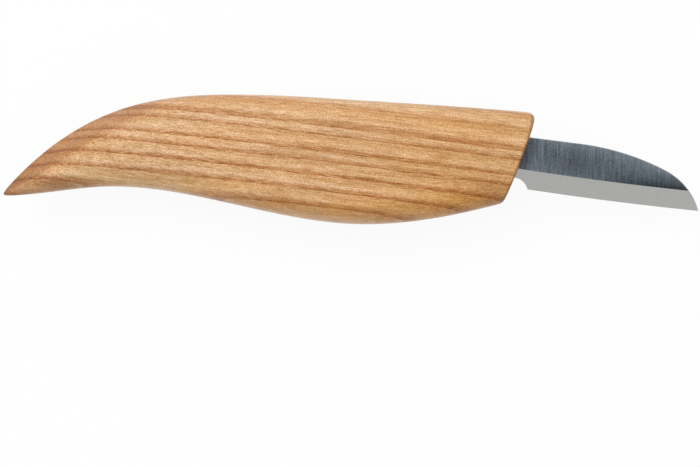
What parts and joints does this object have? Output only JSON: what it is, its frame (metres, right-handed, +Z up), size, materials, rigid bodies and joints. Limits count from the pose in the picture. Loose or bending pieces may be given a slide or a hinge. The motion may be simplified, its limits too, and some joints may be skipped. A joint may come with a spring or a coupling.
{
  "type": "wood carving knife",
  "caption": "Wood carving bench knife: a short straight-edged steel blade with a curved spine, its hidden tang glued into a one-piece ash handle shaped like a long beak.",
  "frame": {"origin": "on the floor, under the middle of the knife's length and height, with the knife lying on its side", "axes": "+X from the tail of the handle to the tip of the blade, +Y from the cutting edge to the spine, +Z up through the thickness"},
  "size_m": [0.1652, 0.0308, 0.021],
  "materials": {
    "handle": "sanded and oiled ash, satin",
    "blade": "dark surface-ground cheeks with fine cross lines, honed pale bevels",
    "tang_glue": "hardened epoxy"
  },
  "bodies": {
    "root": {"handle": "handle", "blade": "blade", "tang_glue": "tang_glue"}
  },
  "joints": []
}
